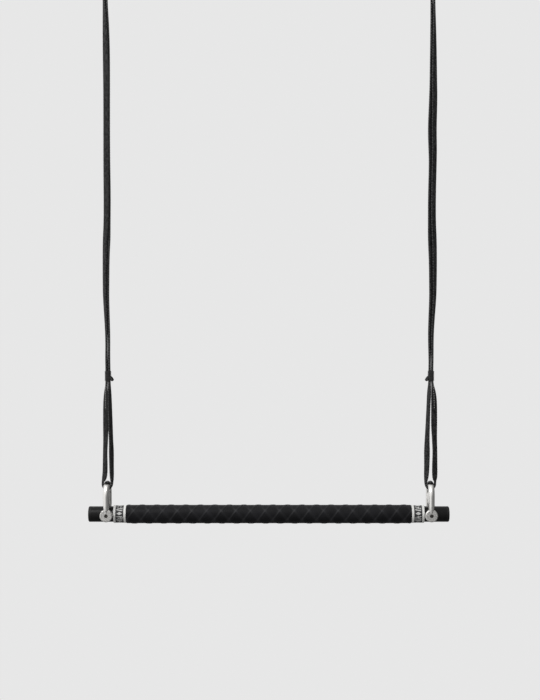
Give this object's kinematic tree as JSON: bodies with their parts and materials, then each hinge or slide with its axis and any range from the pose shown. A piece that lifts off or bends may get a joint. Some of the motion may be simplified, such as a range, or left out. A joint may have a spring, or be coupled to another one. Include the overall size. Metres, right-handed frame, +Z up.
{
  "type": "trapeze bar",
  "caption": "Black steel bar with a ribbed grip, hung by shackles from doubled straps that end in top loops.",
  "frame": {"origin": "middle of the line between the two top loops, where the hooks bear inside them", "axes": "+Z up, +X along the bar to the viewer's right, +Y away from the viewer, through the loops' openings"},
  "size_m": [0.65, 0.052, 1.0307],
  "materials": {
    "bar_paint": "smooth satin black paint on steel tube",
    "grip_rubber": "matt black moulded grip sleeve with raised crossing ribs",
    "cap_plastic": "black moulded plastic, slightly satin",
    "tape": "thin finishing tape, pale borders and a grey and black woven check between them",
    "bush_steel": "turned steel, plain",
    "shackle_steel": "stainless steel, polished rod and finely pitted cast ears",
    "strap_webbing": "black flat tubular webbing, woven in a twill with a picked edge",
    "tack_webbing": "black webbing sewn through with black thread"
  },
  "bodies": {
    "loops": {"left_top_loop": "strap_webbing", "right_top_loop": "strap_webbing"},
    "top_tacks": {"left_top_tack": "tack_webbing", "right_top_tack": "tack_webbing"},
    "left_side": {"left_strap": "strap_webbing", "left_lower_tack": "tack_webbing", "left_strap_tail": "strap_webbing", "left_shackle_bow": "shackle_steel", "left_shackle_pin": "shackle_steel"},
    "right_side": {"right_strap": "strap_webbing", "right_lower_tack": "tack_webbing", "right_strap_tail": "strap_webbing", "right_shackle_bow": "shackle_steel", "right_shackle_pin": "shackle_steel"},
    "bar": {"bar_tube": "bar_paint", "grip_sleeve": "grip_rubber", "left_finishing_tape": "tape", "right_finishing_tape": "tape", "left_end_cap": "cap_plastic", "right_end_cap": "cap_plastic", "left_pin_bush": "bush_steel", "right_pin_bush": "bush_steel"}
  },
  "joints": [
    {"name": "swing", "type": "hinge", "parent": "loops", "child": "top_tacks", "pos_m": [0, 0, -0.052], "axis": [1, 0, 0], "range_deg": [-60, 60]},
    {"name": "left_sway", "type": "hinge", "parent": "top_tacks", "child": "left_side", "pos_m": [-0.2915, 0, -0.0697], "axis": [0, 1, 0], "range_deg": [-20, 20]},
    {"name": "right_sway", "type": "hinge", "parent": "top_tacks", "child": "right_side", "pos_m": [0.2915, 0, -0.0697], "axis": [0, 1, 0], "range_deg": [-20, 20]},
    {"name": "left_pin_turn", "type": "hinge", "parent": "left_side", "child": "bar", "pos_m": [-0.2915, 0, -1.01], "axis": [0, 1, 0], "range_deg": [-20, 20]}
  ],
  "couplings": [
    {"joint": "right_sway", "follows": "left_sway", "ratio": 1},
    {"joint": "left_pin_turn", "follows": "left_sway", "ratio": -1}
  ]
}
